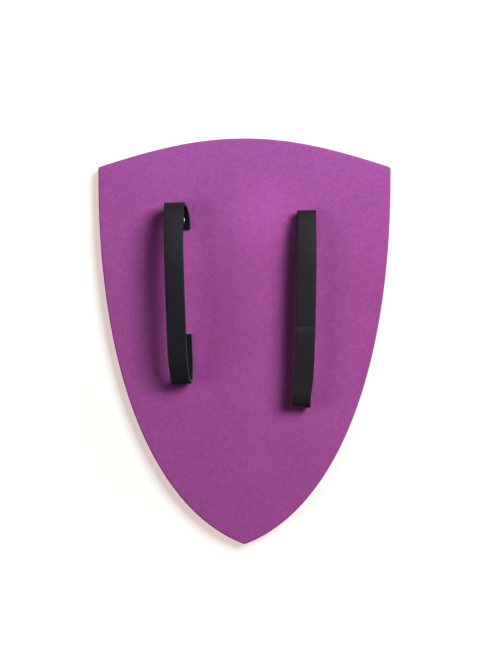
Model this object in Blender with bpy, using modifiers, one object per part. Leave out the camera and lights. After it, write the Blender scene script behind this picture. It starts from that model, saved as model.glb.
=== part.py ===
"""Toy heater shield of foam, lying on its front with its two straps up.

Metres, +Z up. The front face lies in the plane Z = 0, the straight-down view has the shield's
top at +Y, and the origin is under the middle of the outline. Every strap is one flat band whose
two ends fold under into flaps, and each flap is held to the board by one cap rivet.
"""
import math

import bmesh
import bpy
import numpy
from mathutils import Vector

# Board
BOARD_TOP_Y = 0.190          # crown of the top edge
BOARD_TIP_Y = -0.1907        # where the flanks would meet before the tip is softened
HALF_WIDTH = 0.1371
CORNER_Y = 0.1629            # where the top edge meets the side
SHOULDER_Y = 0.1537          # where the straight side starts to curve in
CROWN_HANDLE = 0.0416        # how far the top edge stays level beside its crown
CORNER_HANDLE = (0.0803, 0.1817)
FLANK_UPPER_HANDLE_Y = -0.0268
FLANK_LOWER_HANDLE = (0.0869, -0.1579)
BOARD_THICK = 0.012
EDGE_SOFTENING = 0.0016
EDGE_SEGMENTS = 3
OUTLINE_STEPS = 22

# Straps
STRAP_WIDTH = 0.018
STRAP_THICK = 0.003
STRAP_EDGE_ROUND = 0.0005
GAP = 0.0003                 # between faces that touch
FLAP_Z = BOARD_THICK + GAP + STRAP_THICK / 2
ARC_STEP = math.radians(12)  # between two points round a loop
FEWEST_LOOP_STEPS = 6
BAND_STEPS = 7               # between two of the points that a band runs through

# Rivets, turned about Z: a domed cap on the flap, a shank, and a disc sunk in the front
CAP_RADIUS = 0.0040
CAP_RIM = 0.0007
CAP_DOME = 0.0011
DOME_STEPS = 5
SHANK_RADIUS = 0.0018
DISC_RADIUS = 0.0050
DISC_THICK = 0.0011
DISC_DEPTH = 0.0004          # how far the disc lies below the front face
RIVET_SIDES = 24

WELD_DISTANCE = 0.00001
STRAIGHT_ANGLE = math.radians(0.05)  # outline points that turn less than this are dropped
CUTTER_OVERSHOOT = 0.001

# Each strap, from the end of its top flap round to the end of its bottom flap.
# band is the free band's course between the two loops, as (y, height above the board).
# rise is how steeply the band leaves a loop.
# drift is the sideways place of the strap's middle at its ten stations: the top flap's end, the
# loop's foot, its fold and where the band leaves it, two thirds of the band, then the band's
# end, the fold, the foot and the flap's end at the bottom.
# roll is how many degrees the right edge dips at the same stations.
# A rivet stands at (x, y), a little off the middle of its flap.
STRAPS = {
    "arm": {
        "top_y": 0.1267,
        "bottom_y": -0.0385,
        "top_flap": 0.0226,
        "bottom_flap": 0.0449,
        "top_loop": 0.0117,
        "bottom_loop": 0.0104,
        "top_rise": math.radians(20),
        "bottom_rise": math.radians(26),
        "band": ((0.1000, 0.0277), (0.0750, 0.0300), (0.0300, 0.0308), (-0.0120, 0.0285)),
        "drift": (-0.0594, -0.0601, -0.0643, -0.0645, -0.0646, -0.0622, -0.0595, -0.0578,
                  -0.0568, -0.0581),
        "roll": (0, 0, 0, 10, 9, -6, -12, 0, 0, 0),
        "rivets": ((-0.0597, 0.1126), (-0.0600, -0.0039)),
    },
    "hand": {
        "top_y": 0.1202,
        "bottom_y": -0.0595,
        "top_flap": 0.0280,
        "bottom_flap": 0.0280,
        "top_loop": 0.0045,
        "bottom_loop": 0.0078,
        "top_rise": math.radians(24),
        "bottom_rise": math.radians(16),
        "band": ((0.0880, 0.0176), (0.0420, 0.0193), (-0.0060, 0.0203), (-0.0380, 0.0188)),
        "drift": (0.0574, 0.0574, 0.0580, 0.0577, 0.0571, 0.0553, 0.0525, 0.0532,
                  0.0533, 0.0550),
        "roll": (0, 0, -1, 8, 6, 8, 12, -3, 0, 0),
        "rivets": ((0.0580, 0.1040), (0.0542, -0.0430)),
    },
}
FLAP_END = 0                 # the stations by number
LOOP_FOOT = 1
BAND_START = 3
BAND_END = 6
LAST_STATION = 9

FOAM_PURPLE = (0.36, 0.078, 0.31)
STRAP_BLACK = (0.018, 0.017, 0.021)
RIVET_STEEL = (0.72, 0.72, 0.74)


def clear_scene():
    for old in list(bpy.data.objects):
        bpy.data.objects.remove(old, do_unlink=True)


def new_collection(name):
    group = bpy.data.collections.new(name)
    bpy.context.scene.collection.children.link(group)
    return group


def make_material(name, colour, roughness, metallic=0.0):
    material = bpy.data.materials.new(name)
    material.use_nodes = True
    shader = material.node_tree.nodes["Principled BSDF"]
    shader.inputs["Base Color"].default_value = (*colour, 1.0)
    shader.inputs["Roughness"].default_value = roughness
    shader.inputs["Metallic"].default_value = metallic
    material.diffuse_color = (*colour, 1.0)
    return material


def place(obj, group, material=None):
    group.objects.link(obj)
    if material:
        obj.data.materials.clear()
        obj.data.materials.append(material)
    return obj


def bezier_point(spline, index, co, left, right):
    """Set one outline point and its two handles, all in the outline's own plane."""
    point = spline.bezier_points[index]
    point.handle_left_type = "FREE"
    point.handle_right_type = "FREE"
    point.co = (*co, 0.0)
    point.handle_left = (*left, 0.0)
    point.handle_right = (*right, 0.0)


def mirrored(point):
    return (-point[0], point[1])


def board_outline():
    """The shield's outline as a filled flat curve, half the board's thickness each way."""
    curve = bpy.data.curves.new("board_outline", "CURVE")
    curve.dimensions = "2D"
    curve.fill_mode = "BOTH"
    curve.extrude = BOARD_THICK / 2
    curve.resolution_u = OUTLINE_STEPS
    spline = curve.splines.new("BEZIER")
    spline.bezier_points.add(5)
    spline.use_cyclic_u = True

    crown = (0.0, BOARD_TOP_Y)
    corner = (HALF_WIDTH, CORNER_Y)
    shoulder = (HALF_WIDTH, SHOULDER_Y)
    tip = (0.0, BOARD_TIP_Y)
    side_middle = (HALF_WIDTH, (CORNER_Y + SHOULDER_Y) / 2)
    flank_upper = (HALF_WIDTH, FLANK_UPPER_HANDLE_Y)
    crown_handle = (CROWN_HANDLE, BOARD_TOP_Y)

    bezier_point(spline, 0, tip, mirrored(FLANK_LOWER_HANDLE), FLANK_LOWER_HANDLE)
    bezier_point(spline, 1, shoulder, flank_upper, side_middle)
    bezier_point(spline, 2, corner, side_middle, CORNER_HANDLE)
    bezier_point(spline, 3, crown, crown_handle, mirrored(crown_handle))
    bezier_point(spline, 4, mirrored(corner), mirrored(CORNER_HANDLE), mirrored(side_middle))
    bezier_point(spline, 5, mirrored(shoulder), mirrored(side_middle), mirrored(flank_upper))
    return curve


def mesh_from_curve(curve, name, location):
    """Turn a curve into a welded mesh object, so that it can be bevelled and cut."""
    source = bpy.data.objects.new(name + "_curve", curve)
    source.location = location
    bpy.context.scene.collection.objects.link(source)
    bpy.context.view_layer.update()
    evaluated = source.evaluated_get(bpy.context.evaluated_depsgraph_get())
    mesh = bpy.data.meshes.new_from_object(evaluated)
    mesh.name = name
    welded = bmesh.new()
    welded.from_mesh(mesh)
    bmesh.ops.remove_doubles(welded, verts=welded.verts, dist=WELD_DISTANCE)
    bmesh.ops.dissolve_limit(
        welded, angle_limit=STRAIGHT_ANGLE, verts=welded.verts, edges=welded.edges)
    welded.to_mesh(mesh)
    welded.free()
    obj = bpy.data.objects.new(name, mesh)
    obj.matrix_world = source.matrix_world.copy()
    bpy.data.objects.remove(source, do_unlink=True)
    return obj


def cut(obj, cutter):
    boolean = obj.modifiers.new("cut_" + cutter.name, "BOOLEAN")
    boolean.operation = "DIFFERENCE"
    boolean.solver = "EXACT"
    boolean.object = cutter


def make_cutter(name, group, x, y, low_z, high_z, radius):
    bpy.ops.mesh.primitive_cylinder_add(
        vertices=RIVET_SIDES, radius=radius, depth=high_z - low_z,
        location=(x, y, (low_z + high_z) / 2))
    cutter = bpy.context.active_object
    cutter.name = name
    for owner in list(cutter.users_collection):
        owner.objects.unlink(cutter)
    group.objects.link(cutter)
    cutter.hide_render = True
    cutter.display_type = "WIRE"
    return cutter


def between(before, start, end, after, part):
    """A smooth curve from start to end that also heeds the two values beyond them."""
    curve = 3 * (start - end) + after - before
    bend = 2 * before - 5 * start + 4 * end - after
    return start + 0.5 * part * (end - before + part * (bend + part * curve))


def smooth_course(points, steps):
    """Points along a smooth curve through the inner points; the outer two only aim its ends."""
    course = []
    for before, start, end, after in zip(points, points[1:], points[2:], points[3:]):
        for step in range(1, steps + 1):
            course.append(tuple(
                between(*values, step / steps) for values in zip(before, start, end, after)))
    return course


def at_station(values, station):
    """Read a list of values, one for each station, at a place between two stations."""
    first = min(int(station), len(values) - 2)
    start, end = values[first], values[first + 1]
    before = values[first - 1] if first > 0 else 2 * start - end
    after = values[first + 2] if first + 2 < len(values) else 2 * end - start
    return between(before, start, end, after, station - first)


def loop_points(centre_y, radius, outward, rise):
    """The fold at one end, from its foot round to where the band leaves it.

    Each point is (y, z) with the stations passed since the foot: one at the fold and two at the
    last point. outward is 1 at the top end and -1 at the bottom end."""
    quarter = math.pi / 2
    last_angle = quarter - rise
    steps = max(FEWEST_LOOP_STEPS, math.ceil((quarter + last_angle) / ARC_STEP))
    points = []
    for step in range(steps + 1):
        angle = -quarter + (quarter + last_angle) * step / steps
        passed = 1 + angle / (last_angle if angle > 0 else quarter)
        y = centre_y + outward * radius * math.cos(angle)
        z = FLAP_Z + radius * (1 + math.sin(angle))
        points.append(((y, z), passed))
    return points


def aim_point(start, following, outward, rise):
    """A point before start that makes the band leave its loop at the given slope."""
    reach = 2 * math.dist(start, following)
    return (following[0] + outward * reach * math.cos(rise),
            following[1] - reach * math.sin(rise))


def strap_profile(spec):
    """The strap's middle line seen from the side, as (y, z) with each point's station."""
    top_loop = loop_points(
        spec["top_y"] - spec["top_loop"], spec["top_loop"], 1, spec["top_rise"])
    bottom_loop = loop_points(
        spec["bottom_y"] + spec["bottom_loop"], spec["bottom_loop"], -1, spec["bottom_rise"])
    top_end = (spec["top_y"] - spec["top_flap"], FLAP_Z)
    bottom_end = (spec["bottom_y"] + spec["bottom_flap"], FLAP_Z)
    heights = [(y, BOARD_THICK + height) for y, height in spec["band"]]
    top_leave, bottom_leave = top_loop[-1][0], bottom_loop[-1][0]
    top_aim = aim_point(top_leave, heights[0], 1, spec["top_rise"])
    bottom_aim = aim_point(bottom_leave, heights[-1], -1, spec["bottom_rise"])
    band = smooth_course([top_aim, top_leave, *heights, bottom_leave, bottom_aim], BAND_STEPS)

    route = [(top_end, FLAP_END)]
    route += [(point, LOOP_FOOT + passed) for point, passed in top_loop]
    route += [(point, BAND_START + (BAND_END - BAND_START) * (index + 1) / len(band))
              for index, point in enumerate(band)]
    route += [(point, LAST_STATION - LOOP_FOOT - passed)
              for point, passed in reversed(bottom_loop[:-1])]
    route.append((bottom_end, LAST_STATION))
    return route


def nearest(stations, wanted):
    return min(range(len(stations)), key=lambda index: abs(stations[index] - wanted))


def lean(start, end):
    """How far a stretch of the strap turns from the Y axis, seen from above."""
    return math.atan((end.x - start.x) / (end.y - start.y))


def strap_leans(line, stations):
    """The lean of the strap's width at each point.

    It is square to each flap and to the band's two ends, and turns evenly in between."""
    first_band = nearest(stations, BAND_START)
    last_band = nearest(stations, BAND_END)
    marks = (LOOP_FOOT, BAND_START, BAND_END, LAST_STATION - LOOP_FOOT)
    leans = (
        lean(line[0], line[1]),
        lean(line[first_band], line[first_band + BAND_STEPS]),
        lean(line[last_band - BAND_STEPS], line[last_band]),
        lean(line[-1], line[-2]))
    return [float(numpy.interp(station, marks, leans)) for station in stations]


def strap_mesh(name, spec):
    """A ribbon along the strap's middle line, two edges wide, to be thickened by a modifier."""
    profile = strap_profile(spec)
    stations = [station for _, station in profile]
    line = [Vector((at_station(spec["drift"], station), y, z)) for (y, z), station in profile]
    ribbon = bmesh.new()
    rows = []
    for index, (point, turn) in enumerate(zip(line, strap_leans(line, stations))):
        along = (line[min(index + 1, len(line) - 1)] - line[max(index - 1, 0)]).normalized()
        level = Vector((math.cos(turn), -math.sin(turn), 0.0))
        level = (level - along * level.dot(along)).normalized()
        roll = math.radians(at_station(spec["roll"], stations[index]))
        across = level * math.cos(roll) - along.cross(level) * math.sin(roll)
        side = across * (STRAP_WIDTH / 2)
        rows.append((ribbon.verts.new(point + side), ribbon.verts.new(point - side)))
    for (left_a, right_a), (left_b, right_b) in zip(rows, rows[1:]):
        ribbon.faces.new((left_a, right_a, right_b, left_b))
    mesh = bpy.data.meshes.new(name)
    ribbon.to_mesh(mesh)
    ribbon.free()
    return mesh


def make_strap(name, spec, group, material):
    strap = bpy.data.objects.new(name, strap_mesh(name, spec))
    place(strap, group, material)
    thicken = strap.modifiers.new("thickness", "SOLIDIFY")
    thicken.thickness = STRAP_THICK
    thicken.offset = 0.0
    thicken.use_even_offset = True
    soften = strap.modifiers.new("soft_edges", "BEVEL")
    soften.width = STRAP_EDGE_ROUND
    soften.segments = 1
    soften.limit_method = "ANGLE"
    soften.angle_limit = math.radians(60)
    return strap


def rivet_profile():
    """Half of the rivet's section, from its domed cap down to its sunk disc."""
    cap_base = BOARD_THICK + 2 * GAP + STRAP_THICK
    rim_top = cap_base + CAP_RIM
    points = [(0.0, rim_top + CAP_DOME)]
    for step in range(1, DOME_STEPS + 1):
        angle = math.pi / 2 * (1 - step / DOME_STEPS)
        points.append((CAP_RADIUS * math.cos(angle), rim_top + CAP_DOME * math.sin(angle)))
    disc_top = DISC_DEPTH + DISC_THICK
    points += [
        (CAP_RADIUS, cap_base),
        (SHANK_RADIUS, cap_base),
        (SHANK_RADIUS, disc_top),
        (DISC_RADIUS, disc_top),
        (DISC_RADIUS, DISC_DEPTH),
        (0.0, DISC_DEPTH),
    ]
    return points


def make_rivet(name, place_xy, group, material):
    profile = bmesh.new()
    verts = [profile.verts.new((radius, 0.0, z)) for radius, z in rivet_profile()]
    for lower, upper in zip(verts, verts[1:]):
        profile.edges.new((lower, upper))
    mesh = bpy.data.meshes.new(name)
    profile.to_mesh(mesh)
    profile.free()
    rivet = bpy.data.objects.new(name, mesh)
    rivet.location = (*place_xy, 0.0)
    place(rivet, group, material)
    turn = rivet.modifiers.new("turned", "SCREW")
    turn.axis = "Z"
    turn.steps = RIVET_SIDES
    turn.render_steps = RIVET_SIDES
    turn.use_merge_vertices = True
    turn.merge_threshold = WELD_DISTANCE
    turn.use_smooth_shade = True
    return rivet


def make_board(group, material):
    board = mesh_from_curve(board_outline(), "shield_board", (0.0, 0.0, BOARD_THICK / 2))
    place(board, group, material)
    soften = board.modifiers.new("soft_edges", "BEVEL")
    soften.width = EDGE_SOFTENING
    soften.segments = EDGE_SEGMENTS
    soften.limit_method = "ANGLE"
    soften.angle_limit = math.radians(30)
    return board


def cut_rivet_holes(board, strap, name, place_xy, cutters):
    """One stepped hole through the board, and one round hole through the flap above it."""
    x, y = place_xy
    hole = SHANK_RADIUS + GAP
    below_board = -CUTTER_OVERSHOOT
    above_board = BOARD_THICK + CUTTER_OVERSHOOT
    seat_top = DISC_DEPTH + DISC_THICK + GAP
    below_flap = BOARD_THICK - CUTTER_OVERSHOOT
    above_flap = BOARD_THICK + GAP + STRAP_THICK + CUTTER_OVERSHOOT
    through = make_cutter(name + "_board_hole", cutters, x, y, below_board, above_board, hole)
    seat = make_cutter(name + "_seat", cutters, x, y, below_board, seat_top, DISC_RADIUS + GAP)
    flap = make_cutter(name + "_flap_hole", cutters, x, y, below_flap, above_flap, hole)
    cut(board, through)
    cut(board, seat)
    cut(strap, flap)


def main():
    clear_scene()
    shield = new_collection("heater_shield")
    cutters = new_collection("cutters")
    foam = make_material("foam", FOAM_PURPLE, 0.85)
    strap_material = make_material("strap", STRAP_BLACK, 0.6)
    steel = make_material("rivet_steel", RIVET_STEEL, 0.3, 1.0)

    board = make_board(shield, foam)
    for side, spec in STRAPS.items():
        strap = make_strap(side + "_strap", spec, shield, strap_material)
        for end, place_xy in zip(("top", "bottom"), spec["rivets"]):
            name = side + "_rivet_" + end
            cut_rivet_holes(board, strap, name, place_xy, cutters)
            make_rivet(name, place_xy, shield, steel)
    bpy.context.view_layer.update()


main()
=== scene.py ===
import math

import bmesh
import bpy
from mathutils import Matrix, Vector, geometry, noise


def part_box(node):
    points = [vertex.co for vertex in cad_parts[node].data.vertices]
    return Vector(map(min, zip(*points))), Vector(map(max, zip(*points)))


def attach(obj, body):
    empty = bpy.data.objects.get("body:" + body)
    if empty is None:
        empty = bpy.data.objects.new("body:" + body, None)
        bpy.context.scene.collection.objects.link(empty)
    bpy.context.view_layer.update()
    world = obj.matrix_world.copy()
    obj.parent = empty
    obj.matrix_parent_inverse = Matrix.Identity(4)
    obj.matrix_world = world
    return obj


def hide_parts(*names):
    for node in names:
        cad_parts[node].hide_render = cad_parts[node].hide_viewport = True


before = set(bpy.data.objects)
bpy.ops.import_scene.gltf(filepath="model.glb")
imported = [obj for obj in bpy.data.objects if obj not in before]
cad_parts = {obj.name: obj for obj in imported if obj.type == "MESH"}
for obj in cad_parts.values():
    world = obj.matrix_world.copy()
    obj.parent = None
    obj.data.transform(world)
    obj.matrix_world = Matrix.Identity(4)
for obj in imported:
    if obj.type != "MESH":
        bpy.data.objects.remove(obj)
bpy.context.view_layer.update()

# The photograph's frame and the shield's place in it, in pixels of the 500 by 666 picture
IMAGE_WIDTH_PX = 500
IMAGE_HEIGHT_PX = 666
SHIELD_CENTRE_PX = (244.5, 341.0)
SHIELD_HEIGHT_PX = 406.0
CAMERA_DISTANCE = 1.10
SENSOR_HEIGHT_MM = 24.0
CONTRAST = 0.8               # view gamma: the photograph's steep tone curve

# Each area light: where it stands, its side and its power
KEY_LIGHT = ((0.960, 0.743, 1.352), 0.871, 37.6)
FILL_LIGHT = ((-1.45, -0.12, 1.15), 0.80, 9.2)
AMBIENT = 0.012              # how strongly the surroundings light the part, though they look white

# The small pool of light on the board, with its middle in the picture's pixels
PATCH_PX = (265.0, 208.0)
PATCH_RADIUS = 0.037
PATCH_HEIGHT = 1.0           # its lamp's height above the board
PATCH_POWER = 7.4
PATCH_LAMP_RADIUS = 0.02

FLOOR_HALF = 12.0
# A pale cyan, so that together with the glow the lit floor comes out white and the shade beside the
# shield pink
FLOOR_COLOUR = (0.41, 0.56, 0.58)
# The floor's own glow, painted light, as the distance in metres from under the shield's middle and the
# colour: dimmer and pinker near the shield, so that it paints the shade there pale and warm
FLOOR_GLOW = ((0.16, (0.635, 0.510, 0.460)), (0.34, (0.83, 0.66, 0.62)), (1.0, (1.0, 1.0, 1.0)))

RIVETS = ("arm_rivet_top", "arm_rivet_bottom", "hand_rivet_top", "hand_rivet_bottom")
rivet_boxes = {name: [Vector(corner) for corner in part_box(name)] for name in RIVETS}
rivet_axes = {name: ((low + high) / 2).xy for name, (low, high) in rivet_boxes.items()}

board_low, board_high = (Vector(corner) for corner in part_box("shield_board"))
BOARD_THICK = board_high.z
METRES_PER_PX = (board_high.y - board_low.y) / SHIELD_HEIGHT_PX

# Foam board
EDGE_SOFTENING = 0.0016      # radius of the rounding along its cut edge
EDGE_STEPS = 6
WALL_STEPS = 6
WALL_HOLLOW = 0.00012        # how far the die left the middle of the cut face behind
WALL_PATCHES_ALONG = 60      # unevenness of the cut face, to the metre
WALL_PATCHES_UP = 200
FACE_RINGS = 52
RIM_SPACING = 0.0024
SAME_HEIGHT = 0.00005        # corners this near a level are on it
SWELLS_PER_METRE = 16        # the two faces' unevenness
SWELL_HEIGHT = 0.00020
DIMPLES_PER_METRE = 110
DIMPLE_HEIGHT = 0.00004
RELIEF_FADE = 0.010          # it starts this far in from the edge
PRESS_DEPTH = 0.0005         # how far a rivet pulls the foam in, on each side
PRESS_REACH = 0.0075
HOLE_RADIUS = 0.0021
SEAT_RADIUS = 0.0053
SEAT_DEPTH = 0.0018

# Straps, close to the sizes and the course of the solids that they replace
STRAP_WIDTH = 0.018
STRAP_THICK = 0.003
STRAP_ROUND = 0.0006         # radius along the strap's edges
STRAP_ROUND_STEPS = 3
STRAP_COLUMNS = 14
GAP = 0.0003
FLAP_Z = BOARD_THICK + GAP + STRAP_THICK / 2
ARC_STEP = math.radians(5)
BAND_STEPS = 60
FLAP_ROW = 0.001

# band is the free band's course between the two loops, as (y, height above the board).
# The ten values of each of the next four are at a strap's stations: the top flap's end, the
# loop's foot, its fold and where the band leaves it, two places along the band, then the
# band's end, the fold, the foot and the flap's end at the bottom. drift is the sideways place
# of the strap's middle, roll is how many degrees the band's right edge dips, width is a part
# of STRAP_WIDTH, and the last list is painted shade (to -1) or painted light (to 1) in the
# inner face's colour.
STRAPS = {
    "arm": {
        "top_y": 0.1267,
        "bottom_y": -0.0385,
        "top_flap": 0.0226,
        "bottom_flap": 0.0449,
        "top_loop": 0.0117,
        "bottom_loop": 0.0104,
        "top_rise": math.radians(20),
        "bottom_rise": math.radians(26),
        "band": ((0.1000, 0.0277), (0.0750, 0.0300), (0.0300, 0.0309), (-0.0120, 0.0292)),
        "drift": (-0.0594, -0.0601, -0.0643, -0.0645, -0.0646, -0.0622, -0.0595, -0.0578,
                  -0.0568, -0.0581),
        "roll": (0, 0, 0, 10, 9, -6, -12, 0, 0, 0),
        "width": (1, 1, 1.03, 1.03, 0.98, 0.985, 0.985, 0.99, 1, 1),
        # painted shade in the top fold and at the bottom flap's end, painted light at the bottom fold
        "inner_painted_shading": (0, -0.8, -1, -0.8, 0, 0, 0, 0.3, 0.1, -0.4),
    },
    "hand": {
        "top_y": 0.1202,
        "bottom_y": -0.0595,
        "top_flap": 0.0280,
        "bottom_flap": 0.0280,
        "top_loop": 0.0045,
        "bottom_loop": 0.0078,
        "top_rise": math.radians(24),
        "bottom_rise": math.radians(16),
        "band": ((0.0880, 0.0172), (0.0420, 0.0186), (-0.0060, 0.0194), (-0.0380, 0.0180)),
        "drift": (0.0574, 0.0574, 0.0580, 0.0577, 0.0571, 0.0553, 0.0525, 0.0532,
                  0.0533, 0.0550),
        "roll": (0, 0, -1, 8, 6, 8, 12, -3, 0, 0),
        "width": (1, 1, 0.965, 0.97, 1.025, 1.005, 0.965, 0.93, 0.98, 1),
        "inner_painted_shading": (0, 0, 0, 0, 0, 0, 0, 0, 0, 0),
        "crease_y": 0.0130,
    },
}
LOOP_FOOT = 1                # stations along a strap, by number
BAND_START = 3
BAND_END = 6
LAST_STATION = 9

# Small unevenness of a used strap: heights, and how many bumps there are to the metre
STRAP_SWELL = 0.00025
STRAP_SWELLS_PER_METRE = 28
STRAP_WAVE = 0.00008
STRAP_WAVES_PER_METRE = 60
EDGE_NICK = 0.00006
EDGE_NICKS_ALONG = 180
EDGE_NICKS_ACROSS = 90
CUP_DEPTH = 0.00022          # how far the free band's edges curl in from its middle
CUP_LEVEL = 0.4              # the part of that by which the middle stands out
RIVET_PULL = 0.00028         # how deep a rivet presses its flap
RIVET_PULL_REACH = 0.0052
FLAP_STATIONS = 0.4          # a flap counts as lasting this many stations past a loop's foot
LOOSEN_RATE = 1.2            # how fast a strap loosens past a loop's foot, for each station

# A strap's kink: its depth at the left edge, and its reach up and down the strap
CREASE_DEPTH = 0.0005
CREASE_ABOVE = 0.0050
CREASE_BELOW = 0.0080
CREASE_MIDDLE = 0.55         # the part of that depth at the strap's middle line
CREASE_SLANT = 0.45          # and how much more of it at the left edge, or less at the right

# Rivets
RIVET_SIDES = 64
CAP_RADIUS = 0.0040
CAP_RISE = 0.0019
RIM_ROUND = 0.00035
SHANK_RADIUS = 0.0018
DISC_RADIUS = 0.0050
DISC_THICK = 0.0011
CAP_SINK = 0.00035           # the cap bites this far into the flap

# The shallow hollow in the disc's face, as (radius, depth)
DISC_HOLLOW = ((0.0032, 0.0), (0.0027, 0.00018), (0.0, 0.00022))
WELD_DISTANCE = 0.000005

SHARP_ANGLE = math.radians(38)   # an edge that turns more than this is shaded sharp

# Colours and relief
FOAM_PURPLE = (0.424, 0.116, 0.368)
# a paler, cooler purple: painted light toward the board's top
FOAM_TOP_PAINTED_LIGHT = (0.446, 0.137, 0.422)
STRAP_BLACK = (0.030, 0.029, 0.0365)
STRAP_BACK = (0.016, 0.021, 0.031)
STRAP_CUT = (0.125, 0.127, 0.140)
TOP_LIGHT_FROM_Y = 0.05           # the foam's colour is painted paler toward its top, standing in for the light that falls there
TOP_LIGHT_TO_Y = 0.18
NICKEL = (0.66, 0.65, 0.63)
SKIN_START = 0.0004          # the foam's skin starts this far below a face
FOAM_RELIEF = 0.00009
STRAP_RELIEF = 0.00008
NICKEL_RELIEF = 0.00003


def smooth_step(part):
    part = min(max(part, 0.0), 1.0)
    return part * part * (3 - 2 * part)


def link(obj):
    bpy.context.scene.collection.objects.link(obj)
    return obj


def evaluated_mesh(obj):
    bpy.context.view_layer.update()
    evaluated = obj.evaluated_get(bpy.context.evaluated_depsgraph_get())
    return bpy.data.meshes.new_from_object(evaluated)


def finish_piece(piece, slot, *nodes):
    """Shade a piece smooth, hang it on the root body and hide the solids that it stands for."""
    piece.data.shade_smooth()
    piece.data.set_sharp_from_angle(angle=SHARP_ANGLE)
    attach(piece, "root")
    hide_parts(*nodes)


def drill(piece, places, radius, low_z, high_z):
    """Cut a round upright hole through a piece at each of the places."""
    tool = bmesh.new()
    for x, y in places:
        middle = Matrix.Translation((x, y, (low_z + high_z) / 2))
        bmesh.ops.create_cone(
            tool, cap_ends=True, segments=RIVET_SIDES, radius1=radius, radius2=radius,
            depth=high_z - low_z, matrix=middle)
    mesh = bpy.data.meshes.new("drill")
    tool.to_mesh(mesh)
    tool.free()
    cutter = link(bpy.data.objects.new("drill", mesh))
    hole = piece.modifiers.new("hole", "BOOLEAN")
    hole.operation = "DIFFERENCE"
    hole.solver = "EXACT"
    hole.object = cutter
    drilled = evaluated_mesh(piece)
    piece.modifiers.remove(hole)
    piece.data = drilled
    bpy.data.objects.remove(cutter, do_unlink=True)


# Camera, floor and lights


def make_camera():
    """A camera straight above, so that the board's back has the photograph's size and place."""
    offset_x = (IMAGE_WIDTH_PX / 2 - SHIELD_CENTRE_PX[0]) * METRES_PER_PX
    offset_y = (SHIELD_CENTRE_PX[1] - IMAGE_HEIGHT_PX / 2) * METRES_PER_PX
    data = bpy.data.cameras.new("camera")
    data.sensor_fit = "VERTICAL"
    data.sensor_height = SENSOR_HEIGHT_MM
    data.lens = SENSOR_HEIGHT_MM * CAMERA_DISTANCE / (IMAGE_HEIGHT_PX * METRES_PER_PX)
    camera = link(bpy.data.objects.new("camera", data))
    camera.location = (offset_x, offset_y, BOARD_THICK + CAMERA_DISTANCE)
    bpy.context.scene.camera = camera


def make_floor():
    """A white sheet that glows as well: painted light, white far off and dimmer and pinker near the
    shield, so that the shadow on it stays pale and warm.
    """
    mesh = bpy.data.meshes.new("floor")
    corners = [(x * FLOOR_HALF, y * FLOOR_HALF, 0) for x, y in ((-1, -1), (1, -1), (1, 1), (-1, 1))]
    mesh.from_pydata(corners, [], [(0, 1, 2, 3)])
    floor = link(bpy.data.objects.new("floor", mesh))
    material = bpy.data.materials.new("floor")
    material.use_nodes = True
    shader = material.node_tree.nodes["Principled BSDF"]
    shader.inputs["Base Color"].default_value = (*FLOOR_COLOUR, 1)
    shader.inputs["Roughness"].default_value = 0.9
    shader.inputs["Specular IOR Level"].default_value = 0.1
    shader.inputs["Emission Strength"].default_value = 1.0
    tree = material.node_tree
    place = tree.nodes.new("ShaderNodeTexCoord")
    away = tree.nodes.new("ShaderNodeVectorMath")
    away.operation = "LENGTH"
    glow = tree.nodes.new("ShaderNodeValToRGB")
    tree.links.new(place.outputs["Object"], away.inputs[0])
    tree.links.new(away.outputs["Value"], glow.inputs["Fac"])
    tree.links.new(glow.outputs["Color"], shader.inputs["Emission Color"])
    glow.color_ramp.elements.new(FLOOR_GLOW[1][0])
    for element, (distance, colour) in zip(glow.color_ramp.elements, FLOOR_GLOW):
        element.position = distance
        element.color = (*colour, 1)
    mesh.materials.append(material)


def aim(light, location, target):
    light.location = location
    direction = Vector(target) - Vector(location)
    light.rotation_euler = direction.to_track_quat("-Z", "Y").to_euler()


def area_light(name, location, side, power):
    data = bpy.data.lights.new(name, "AREA")
    data.shape = "SQUARE"
    data.size = side
    data.energy = power
    aim(link(bpy.data.objects.new(name, data)), location, (0, 0, 0))


def make_patch():
    """A small soft pool of light on the upper middle of the board, left of the grip strap."""
    x = (PATCH_PX[0] - SHIELD_CENTRE_PX[0]) * METRES_PER_PX
    y = (SHIELD_CENTRE_PX[1] - PATCH_PX[1]) * METRES_PER_PX
    data = bpy.data.lights.new("patch", "SPOT")
    data.energy = PATCH_POWER
    data.spot_size = 2 * math.atan(PATCH_RADIUS / PATCH_HEIGHT)
    data.spot_blend = 1.0
    data.shadow_soft_size = PATCH_LAMP_RADIUS
    aim(link(bpy.data.objects.new("patch", data)), (x, y, BOARD_THICK + PATCH_HEIGHT), (x, y, 0))


def make_lights():
    """Three lamps, and surroundings that look white but light the part only a little."""
    area_light("key", *KEY_LIGHT)
    area_light("fill", *FILL_LIGHT)
    make_patch()
    world = bpy.data.worlds.new("studio")
    world.use_nodes = True
    tree = world.node_tree
    seen = tree.nodes.new("ShaderNodeLightPath").outputs["Is Camera Ray"]
    strength = tree.nodes.new("ShaderNodeMapRange")
    strength.inputs["To Min"].default_value = AMBIENT
    tree.links.new(seen, strength.inputs["Value"])
    background = tree.nodes["Background"]
    background.inputs["Color"].default_value = (1, 1, 1, 1)
    tree.links.new(strength.outputs["Result"], background.inputs["Strength"])
    bpy.context.scene.world = world


# Materials


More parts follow.
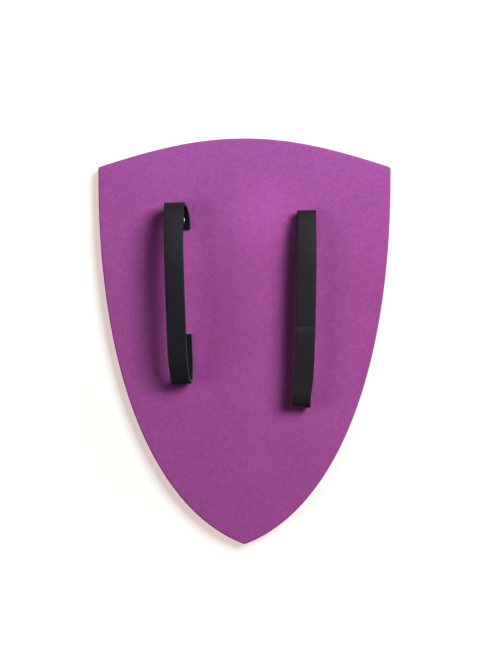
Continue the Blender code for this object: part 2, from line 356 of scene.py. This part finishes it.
class Look:
    """One procedural material: it adds nodes and joins them to its Principled shader."""

    def __init__(self, name, roughness):
        self.material = bpy.data.materials.new(name)
        self.material.use_nodes = True
        self.tree = self.material.node_tree
        self.shader = self.tree.nodes["Principled BSDF"]
        self.shader.inputs["Roughness"].default_value = roughness
        self.place = self.add("ShaderNodeTexCoord").outputs["Object"]

    def add(self, kind, inputs=None, **settings):
        node = self.tree.nodes.new(kind)
        for name, value in settings.items():
            setattr(node, name, value)
        for name, value in (inputs or {}).items():
            if isinstance(value, bpy.types.NodeSocket):
                self.tree.links.new(value, node.inputs[name])
            else:
                node.inputs[name].default_value = value
        return node

    def set(self, name, value):
        """Give the shader's socket a value, or join a node's output to it."""
        if isinstance(value, bpy.types.NodeSocket):
            self.tree.links.new(value, self.shader.inputs[name])
        else:
            self.shader.inputs[name].default_value = value

    def stretched(self, scale):
        return self.add("ShaderNodeMapping", {"Vector": self.place, "Scale": scale}).outputs["Vector"]

    def noise(self, per_metre, detail=2.0, place=None):
        """Noise between 0 and 1, with so many blotches to the metre."""
        inputs = {"Vector": place or self.place, "Scale": per_metre, "Detail": detail}
        return self.add("ShaderNodeTexNoise", inputs).outputs["Fac"]

    def cells(self, per_metre):
        inputs = {"Vector": self.place, "Scale": per_metre}
        return self.add("ShaderNodeTexVoronoi", inputs).outputs["Distance"]

    def spread(self, value, low, high, start=0.25, end=0.75):
        """Stretch a value from start to end over the range from low to high."""
        inputs = {"Value": value, "From Min": start, "From Max": end, "To Min": low, "To Max": high}
        return self.add("ShaderNodeMapRange", inputs).outputs["Result"]

    def math(self, operation, first, second):
        node = self.add("ShaderNodeMath", operation=operation)
        for socket, value in zip(node.inputs, (first, second)):
            if isinstance(value, bpy.types.NodeSocket):
                self.tree.links.new(value, socket)
            else:
                socket.default_value = value
        return node.outputs["Value"]

    def shade(self, colour, tone):
        """The colour, made lighter or darker by the tone."""
        inputs = {"Color": colour if isinstance(colour, bpy.types.NodeSocket) else (*colour, 1),
                  "Value": tone}
        return self.add("ShaderNodeHueSaturation", inputs).outputs["Color"]

    def mixed(self, part, first, second):
        node = self.add("ShaderNodeMix", data_type="RGBA")
        for socket, value in ((node.inputs[0], part), (node.inputs[6], first), (node.inputs[7], second)):
            if isinstance(value, bpy.types.NodeSocket):
                self.tree.links.new(value, socket)
            else:
                socket.default_value = (*value, 1)
        return node.outputs[2]

    def bump(self, height, depth, strength):
        inputs = {"Height": height, "Distance": depth, "Strength": strength}
        self.set("Normal", self.add("ShaderNodeBump", inputs).outputs["Normal"])


def foam_look():
    """Closed-cell foam: a fine skin on the two faces and coarser cells on the cut edge."""
    look = Look("foam_skin", 0.9)
    grain = look.noise(1000, 3)
    fleck = look.noise(380, 2)
    mottle = look.noise(150, 2)
    cloud = look.noise(16, 2)
    half = BOARD_THICK / 2
    place = look.add("ShaderNodeSeparateXYZ", {"Vector": look.place})
    from_middle = look.math("ABSOLUTE", look.math("SUBTRACT", place.outputs["Z"], half), 0)
    # Toward the top the foam's colour is painted paler and cooler, standing in for the light that falls
    # there
    purple = look.mixed(
        look.spread(place.outputs["Y"], 0, 1, TOP_LIGHT_FROM_Y, TOP_LIGHT_TO_Y), FOAM_PURPLE, FOAM_TOP_PAINTED_LIGHT)
    cut = look.spread(from_middle, 1, 0, half - EDGE_SOFTENING, half - SKIN_START)
    tone = look.math("MULTIPLY", look.spread(grain, 0.86, 1.14), look.spread(fleck, 0.92, 1.08))
    tone = look.math("MULTIPLY", tone, look.spread(mottle, 0.965, 1.035))
    tone = look.math("MULTIPLY", tone, look.spread(cloud, 0.97, 1.03))
    tone = look.math("MULTIPLY", tone, look.spread(cut, 1.0, 0.93, 0, 1))
    look.set("Base Color", look.shade(purple, tone))
    look.set("Roughness", look.spread(mottle, 0.84, 0.96))
    look.set("Specular IOR Level", 0.2)
    skin = look.math("ADD", look.cells(1100), look.math("MULTIPLY", grain, 0.8))
    open_cells = look.math("MULTIPLY", look.cells(620), look.spread(cut, 0, 2.2, 0, 1))
    look.bump(look.math("ADD", skin, open_cells), FOAM_RELIEF, strength=0.5)
    return look.material


def strap_look(name, colour, roughness, gloss):
    """Matte rubbery strap: fine leather-like grain with faint marks drawn out along its length."""
    look = Look(name, roughness)
    along = look.stretched((1.0, 0.22, 1.0))
    grain = look.noise(1500, 3)
    streaks = look.noise(420, 3, along)
    cloud = look.noise(45, 2)
    tone = look.math("MULTIPLY", look.spread(grain, 0.90, 1.10), look.spread(streaks, 0.93, 1.07))
    tone = look.math("MULTIPLY", tone, look.spread(cloud, 0.93, 1.07))
    kink_tone_and_painted_shading = look.add("ShaderNodeAttribute", attribute_name="kink_tone_and_painted_shading").outputs["Fac"]
    # A mesh attribute paints shade and light into the inner face's colour in the folds, and makes the
    # strap lighter just below its kink
    tone = look.math("MULTIPLY", tone, look.spread(kink_tone_and_painted_shading, 0.3, 1.7, -1, 1))
    look.set("Base Color", look.shade(colour, tone))
    look.set("Roughness", look.spread(streaks, roughness - 0.05, roughness + 0.05))
    look.set("Specular IOR Level", gloss)
    relief = look.math("ADD", grain, look.math("MULTIPLY", streaks, 0.6))
    look.bump(relief, STRAP_RELIEF, strength=0.45)
    return look.material


def nickel_look():
    look = Look("nickel", 0.36)
    scuffs = look.noise(900, 4)
    stain = look.noise(300, 2)
    look.set("Metallic", 1.0)
    look.set("Base Color", look.shade(NICKEL, look.spread(stain, 0.92, 1.06)))
    look.set("Roughness", look.spread(scuffs, 0.28, 0.46))
    look.bump(scuffs, NICKEL_RELIEF, strength=0.3)
    return look.material


# Foam board


def rim_corners():
    """The board's outline where its cut face ends, as the solid has it, corner by corner."""
    level = BOARD_THICK - EDGE_SOFTENING
    corners = {}
    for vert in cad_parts["shield_board"].data.vertices:
        if abs(vert.co.z - level) < SAME_HEIGHT:
            corners[round(vert.co.x, 5), round(vert.co.y, 5)] = vert.co.xy
    return sorted(corners.values(), key=lambda corner: math.atan2(corner.y, corner.x))


def fine_rim():
    """A smooth closed curve through the corners, and at each point the way in from the edge."""
    corners = rim_corners()
    count = len(corners)
    ways = [(corners[(index + 1) % count] - corners[index - 1]).normalized()
            for index in range(count)]
    rim = []
    for index, start in enumerate(corners):
        following = (index + 1) % count
        end = corners[following]
        length = (end - start).length
        steps = max(1, round(length / RIM_SPACING))
        stretch = geometry.interpolate_bezier(
            start, start + ways[index] * length / 3, end - ways[following] * length / 3, end,
            steps + 1)
        rim += [Vector(point).xy for point in stretch[:-1]]
    inward = []
    for index, point in enumerate(rim):
        way = (rim[(index + 1) % len(rim)] - rim[index - 1]).normalized()
        inward.append(Vector((-way.y, way.x)))
    return rim, inward


def pressed(x, y):
    """How deep the nearest rivets pull the foam in."""
    depth = 0.0
    for axis in rivet_axes.values():
        away = math.hypot(x - axis.x, y - axis.y) / PRESS_REACH
        depth += PRESS_DEPTH * math.exp(-away * away)
    return depth


def waves(x, y, layer):
    """The foam's slight unevenness: a long swell and a shorter one."""
    swell = noise.noise(Vector((x * SWELLS_PER_METRE, y * SWELLS_PER_METRE, layer)))
    dimples = noise.noise(Vector((x * DIMPLES_PER_METRE, y * DIMPLES_PER_METRE, layer + 7.0)))
    return swell * SWELL_HEIGHT + dimples * DIMPLE_HEIGHT


def face_height(x, y, fade, back):
    if back:
        return BOARD_THICK + fade * (waves(x, y, 1.0) - pressed(x, y))
    return fade * (abs(waves(x, y, 4.0)) + pressed(x, y))


def make_board(material):
    """The slab as rings: out over the front, up round the cut edge and in over the back."""
    rim, inward = fine_rim()
    shape = bmesh.new()

    def ring(inset, z, wander=0.0):
        points = []
        for point, way in zip(rim, inward):
            spot = Vector((
                point.x * WALL_PATCHES_ALONG, point.y * WALL_PATCHES_ALONG, z * WALL_PATCHES_UP))
            place = point + way * (inset + wander * noise.noise(spot))
            points.append(shape.verts.new((place.x, place.y, z)))
        return points

    def face_ring(shrink, back):
        points = []
        for point, way in zip(rim, inward):
            place = (point + way * EDGE_SOFTENING) * (1 - shrink)
            fade = smooth_step(shrink * point.length / RELIEF_FADE)
            z = face_height(place.x, place.y, fade, back)
            points.append(shape.verts.new((place.x, place.y, z)))
        return points

    shrinks = [step / FACE_RINGS for step in range(FACE_RINGS)]
    quarter = [math.pi / 2 * step / EDGE_STEPS for step in range(1, EDGE_STEPS + 1)]
    rings = [face_ring(shrink, False) for shrink in reversed(shrinks)]
    for angle in quarter:
        rings.append(ring(EDGE_SOFTENING * (1 - math.sin(angle)), EDGE_SOFTENING * (1 - math.cos(angle))))
    wall = BOARD_THICK - 2 * EDGE_SOFTENING
    for step in range(1, WALL_STEPS + 1):
        part = step / WALL_STEPS
        hollow = WALL_HOLLOW * math.sin(math.pi * part)
        rings.append(ring(hollow, EDGE_SOFTENING + wall * part, hollow))
    for angle in quarter[:-1]:
        rings.append(ring(
            EDGE_SOFTENING * (1 - math.cos(angle)),
            BOARD_THICK - EDGE_SOFTENING * (1 - math.sin(angle))))
    rings += [face_ring(shrink, True) for shrink in shrinks]

    for lower, upper in zip(rings, rings[1:]):
        for index in range(len(rim)):
            following = (index + 1) % len(rim)
            shape.faces.new((lower[index], lower[following], upper[following], upper[index]))
    front_middle = shape.verts.new((0, 0, face_height(0, 0, 1, False)))
    back_middle = shape.verts.new((0, 0, face_height(0, 0, 1, True)))
    for index in range(len(rim)):
        following = (index + 1) % len(rim)
        shape.faces.new((front_middle, rings[0][following], rings[0][index]))
        shape.faces.new((back_middle, rings[-1][index], rings[-1][following]))
    mesh = bpy.data.meshes.new("foam_board")
    shape.to_mesh(mesh)
    shape.free()
    mesh.materials.append(material)

    board = link(bpy.data.objects.new("foam_board", mesh))
    drill(board, rivet_axes.values(), SEAT_RADIUS, -SEAT_DEPTH, SEAT_DEPTH)
    drill(board, rivet_axes.values(), HOLE_RADIUS, 0, BOARD_THICK + SEAT_DEPTH)
    finish_piece(board, "foam", "shield_board")


# Straps


def between(before, start, end, after, part):
    """A smooth curve from start to end that also heeds the two values beyond them."""
    curve = 3 * (start - end) + after - before
    bend = 2 * before - 5 * start + 4 * end - after
    return start + 0.5 * part * (end - before + part * (bend + part * curve))


def smooth_course(points, steps):
    """Points along a smooth curve through the inner points; the outer two only aim its ends."""
    course = []
    for before, start, end, after in zip(points, points[1:], points[2:], points[3:]):
        for step in range(1, steps + 1):
            course.append(tuple(
                between(*values, step / steps) for values in zip(before, start, end, after)))
    return course


def at_station(values, station):
    """Read a list of values, one for each station, at a place between two stations."""
    first = min(int(station), len(values) - 2)
    start, end = values[first], values[first + 1]
    before = values[first - 1] if first > 0 else 2 * start - end
    after = values[first + 2] if first + 2 < len(values) else 2 * end - start
    return between(before, start, end, after, station - first)


def loop_points(centre_y, radius, outward, rise):
    """The fold at one end as ((y, z), stations passed since its foot)."""
    quarter = math.pi / 2
    last_angle = quarter - rise
    steps = math.ceil((quarter + last_angle) / ARC_STEP)
    points = []
    for step in range(steps + 1):
        angle = -quarter + (quarter + last_angle) * step / steps
        passed = 1 + angle / (last_angle if angle > 0 else quarter)
        y = centre_y + outward * radius * math.cos(angle)
        z = FLAP_Z + radius * (1 + math.sin(angle))
        points.append(((y, z), passed))
    return points


def flap_points(end_y, foot_y):
    """The flat flap as ((y, z), station), from its end up to the loop's foot."""
    steps = round(abs(foot_y - end_y) / FLAP_ROW)
    return [((end_y + (foot_y - end_y) * step / steps, FLAP_Z), step / steps)
            for step in range(steps)]


def aim_point(start, following, outward, rise):
    """A point before start that makes the band leave its loop at the given slope."""
    reach = 2 * math.dist(start, following)
    return (following[0] + outward * reach * math.cos(rise),
            following[1] - reach * math.sin(rise))


def strap_profile(spec):
    """The strap's middle line seen from the side, as ((y, z), station)."""
    top_foot = spec["top_y"] - spec["top_loop"]
    bottom_foot = spec["bottom_y"] + spec["bottom_loop"]
    top_loop = loop_points(top_foot, spec["top_loop"], 1, spec["top_rise"])
    bottom_loop = loop_points(bottom_foot, spec["bottom_loop"], -1, spec["bottom_rise"])
    heights = [(y, BOARD_THICK + height) for y, height in spec["band"]]
    top_leave, bottom_leave = top_loop[-1][0], bottom_loop[-1][0]
    top_aim = aim_point(top_leave, heights[0], 1, spec["top_rise"])
    bottom_aim = aim_point(bottom_leave, heights[-1], -1, spec["bottom_rise"])
    band = smooth_course([top_aim, top_leave, *heights, bottom_leave, bottom_aim], BAND_STEPS)

    route = flap_points(spec["top_y"] - spec["top_flap"], top_foot)
    route += [(point, LOOP_FOOT + passed) for point, passed in top_loop]
    route += [(point, BAND_START + (BAND_END - BAND_START) * (index + 1) / len(band))
              for index, point in enumerate(band)]
    route += [(point, LAST_STATION - LOOP_FOOT - passed)
              for point, passed in reversed(bottom_loop[:-1])]
    route += [(point, LAST_STATION - station) for point, station in
              reversed(flap_points(spec["bottom_y"] + spec["bottom_flap"], bottom_foot))]
    return route


def nearest(stations, wanted):
    return min(range(len(stations)), key=lambda index: abs(stations[index] - wanted))


def lean(start, end):
    """How far a stretch of the strap turns from the Y axis, seen from above."""
    return math.atan((end.x - start.x) / (end.y - start.y))


def ramp(value, marks, results):
    """Read straight lines drawn through the results at the marks."""
    if value <= marks[0]:
        return results[0]
    for low, high, start, end in zip(marks, marks[1:], results, results[1:]):
        if value <= high:
            return start + (end - start) * (value - low) / (high - low)
    return results[-1]


def strap_rows(spec):
    """Each row of the strap: its middle, the ways along and across it, and out of its outer
    face, its station and its distance from the top flap's end."""
    profile = strap_profile(spec)
    stations = [station for _, station in profile]
    line = [Vector((at_station(spec["drift"], station), y, z)) for (y, z), station in profile]
    first_band, last_band = nearest(stations, BAND_START), nearest(stations, BAND_END)
    marks = (LOOP_FOOT, BAND_START, BAND_END, LAST_STATION - LOOP_FOOT)
    leans = (
        lean(line[0], line[nearest(stations, LOOP_FOOT)]),
        lean(line[first_band], line[first_band + BAND_STEPS]),
        lean(line[last_band - BAND_STEPS], line[last_band]),
        lean(line[-1], line[nearest(stations, LAST_STATION - LOOP_FOOT)]))
    rows = []
    run = 0.0
    for index, middle in enumerate(line):
        if index:
            run += (middle - line[index - 1]).length
        along = (line[min(index + 1, len(line) - 1)] - line[max(index - 1, 0)]).normalized()
        turn = ramp(stations[index], marks, leans)
        level = Vector((math.cos(turn), -math.sin(turn), 0.0))
        level = (level - along * level.dot(along)).normalized()
        upright = along.cross(level)
        roll = math.radians(at_station(spec["roll"], stations[index]))
        across = level * math.cos(roll) - upright * math.sin(roll)
        outward = upright * math.cos(roll) + level * math.sin(roll)
        rows.append((middle, along, across, outward, stations[index], run))
    return rows


def strap_section():
    """Points round the strap's section as (across, outward, surface): 0 is the outer face,
    1 the inner face and 2 a cut edge."""
    half_width, half_thick = STRAP_WIDTH / 2, STRAP_THICK / 2
    flat = half_width - STRAP_ROUND
    rise = half_thick - STRAP_ROUND
    columns = [flat * (2 * step / STRAP_COLUMNS - 1) for step in range(STRAP_COLUMNS + 1)]
    turns = [math.pi / 2 * step / STRAP_ROUND_STEPS for step in range(1, STRAP_ROUND_STEPS)]

    def corner(angle):
        return STRAP_ROUND * math.sin(angle), STRAP_ROUND * math.cos(angle)

    points = [(across, half_thick, 0) for across in columns]
    points += [(flat + corner(turn)[0], rise + corner(turn)[1], 0) for turn in turns]
    points += [(half_width, rise, 2), (half_width, 0.0, 2), (half_width, -rise, 2)]
    points += [(flat + corner(turn)[0], -rise - corner(turn)[1], 2) for turn in reversed(turns)]
    points += [(across, -half_thick, 1) for across in reversed(columns)]
    points += [(-flat - corner(turn)[0], -rise - corner(turn)[1], 2) for turn in turns]
    points += [(-half_width, -rise, 2), (-half_width, 0.0, 2), (-half_width, rise, 2)]
    points += [(-flat - corner(turn)[0], rise + corner(turn)[1], 0) for turn in reversed(turns)]
    return points


def crease(crease_y, across, y):
    """How far a place on the strap is into its kink: 1 in the kink at the left edge, 0 away."""
    below = crease_y - y
    away = below / CREASE_BELOW if below > 0 else -below / CREASE_ABOVE
    leftness = CREASE_MIDDLE - CREASE_SLANT * across / (STRAP_WIDTH / 2)
    return leftness * max(1 - away, 0.0) ** 2


def crease_below(spec, y):
    return "crease_y" in spec and y < spec["crease_y"]


def looseness(station):
    """How far the strap is free to wave: 0 on the flaps, 1 on the band."""
    from_end = min(station, LAST_STATION - station)
    return smooth_step((from_end - LOOP_FOOT) * LOOSEN_RATE)


def make_strap(name, node, spec, materials, seed):
    """Sweep the section along the strap's course, with the small bends of a used strap."""
    rivets = [rivet_axes[node + "_rivet_" + end] for end in ("top", "bottom")]
    rows = strap_rows(spec)
    section = strap_section()
    length = rows[-1][5]
    shape = bmesh.new()
    kink_tone_and_painted_shading = shape.verts.layers.float.new("kink_tone_and_painted_shading")
    rings = []
    for middle, along, across, outward, station, run in rows:
        from_end = min(run, length - run)
        tuck = STRAP_ROUND * (1 - math.sin(math.pi / 2 * min(from_end / STRAP_ROUND, 1)))
        narrow = at_station(spec["width"], station) - tuck / (STRAP_WIDTH / 2)
        thin = 1 - tuck / (STRAP_THICK / 2)
        swell = STRAP_SWELL * noise.noise(Vector((run * STRAP_SWELLS_PER_METRE, seed, 0.0)))
        free = looseness(station)
        ring = []
        for a, n, surface in section:
            nick = EDGE_NICK * noise.noise(
                Vector((run * EDGE_NICKS_ALONG, a * EDGE_NICKS_ACROSS, seed + 3.0)))
            wave = STRAP_WAVE * noise.noise(
                Vector((run * STRAP_WAVES_PER_METRE, a * STRAP_WAVES_PER_METRE, seed + 9.0)))
            lift = free * (swell + wave)
            cup = free * CUP_DEPTH * ((a / (STRAP_WIDTH / 2)) ** 2 - CUP_LEVEL)
            place = middle + across * (a * narrow + (nick if surface == 2 else 0.0))
            kink = 0.0
            if "crease_y" in spec and BAND_START < station < BAND_END:
                kink = crease(spec["crease_y"], a, middle.y)
            place += outward * (n * thin + lift - cup - CREASE_DEPTH * kink)
            if min(station, LAST_STATION - station) <= LOOP_FOOT + FLAP_STATIONS:
                away = min(math.hypot(place.x - x, place.y - y) for x, y in rivets)
                place.z -= RIVET_PULL * math.exp(-(away / RIVET_PULL_REACH) ** 2)
            vert = shape.verts.new(place)
            # The strap's colour is lighter just below its kink, most at the left edge
            vert[kink_tone_and_painted_shading] = kink if crease_below(spec, middle.y) else 0.0
            # On the inner face the colour carries painted shade in the arm strap's top fold and at its
            # bottom flap's end, and painted light at its bottom fold
            if surface == 1:
                vert[kink_tone_and_painted_shading] = at_station(spec["inner_painted_shading"], station)
            ring.append(vert)
        rings.append(ring)
    count = len(section)
    for lower, upper in zip(rings, rings[1:]):
        for index, (_, _, surface) in enumerate(section):
            following = (index + 1) % count
            face = shape.faces.new((lower[index], lower[following], upper[following], upper[index]))
            face.material_index = surface
    for ring in (rings[0], list(reversed(rings[-1]))):
        shape.faces.new(ring).material_index = 2
    bmesh.ops.recalc_face_normals(shape, faces=shape.faces)
    mesh = bpy.data.meshes.new(name)
    shape.to_mesh(mesh)
    shape.free()
    for material in materials:
        mesh.materials.append(material)
    strap = link(bpy.data.objects.new(name, mesh))
    drill(strap, rivets, HOLE_RADIUS, BOARD_THICK - GAP, FLAP_Z + STRAP_THICK)
    finish_piece(strap, "strap", node + "_strap")


# Rivets


def rivet_section(low_z, high_z):
    """Half of the rivet's section, from the middle of its cap down to the middle of its disc."""
    rim_z = high_z - CAP_RISE
    points = []
    dome_steps, roll_steps = 10, 6
    for step in range(dome_steps + 1):
        angle = math.pi / 2 * step / dome_steps
        points.append((
            (CAP_RADIUS - RIM_ROUND) * math.sin(angle),
            rim_z + RIM_ROUND + (CAP_RISE - RIM_ROUND) * math.cos(angle)))
    for step in range(1, roll_steps + 1):
        angle = math.pi * step / roll_steps
        points.append((
            CAP_RADIUS - RIM_ROUND + RIM_ROUND * math.sin(angle), rim_z + RIM_ROUND * math.cos(angle)))
    disc_top = low_z + DISC_THICK
    points.append((SHANK_RADIUS, rim_z - RIM_ROUND))
    points.append((SHANK_RADIUS, disc_top))
    for step in range(roll_steps + 1):
        angle = math.pi * step / roll_steps
        points.append((
            DISC_RADIUS - DISC_THICK / 2 + DISC_THICK / 2 * math.sin(angle),
            disc_top - DISC_THICK / 2 * (1 - math.cos(angle))))
    points += [(radius, low_z + depth) for radius, depth in DISC_HOLLOW]
    return points


def make_rivet(name, material):
    low, high = rivet_boxes[name]
    x, y = rivet_axes[name]
    shape = bmesh.new()
    verts = [shape.verts.new((x + radius, y, z))
             for radius, z in rivet_section(low[2], high[2] - CAP_SINK)]
    edges = [shape.edges.new(pair) for pair in zip(verts, verts[1:])]
    bmesh.ops.spin(
        shape, geom=verts + edges, cent=(x, y, 0), axis=(0, 0, 1), angle=2 * math.pi,
        steps=RIVET_SIDES, use_merge=True)
    bmesh.ops.remove_doubles(shape, verts=shape.verts, dist=WELD_DISTANCE)
    bmesh.ops.recalc_face_normals(shape, faces=shape.faces)
    mesh = bpy.data.meshes.new(name + "_turned")
    shape.to_mesh(mesh)
    shape.free()
    mesh.materials.append(material)
    finish_piece(link(bpy.data.objects.new(name + "_turned", mesh)), "rivet", name)


make_camera()
make_floor()
make_lights()
bpy.context.scene.view_settings.view_transform = "Standard"
bpy.context.scene.view_settings.gamma = CONTRAST

make_board(foam_look())
strap_materials = (
    strap_look("strap_outer", STRAP_BLACK, roughness=0.53, gloss=0.14),
    strap_look("strap_inner", STRAP_BACK, roughness=0.70, gloss=0.08),
    strap_look("strap_cut", STRAP_CUT, roughness=0.75, gloss=0.08))
make_strap("forearm_strap", "arm", STRAPS["arm"], strap_materials, seed=1.5)
make_strap("grip_strap", "hand", STRAPS["hand"], strap_materials, seed=5.5)
nickel = nickel_look()
for rivet in RIVETS:
    make_rivet(rivet, nickel)
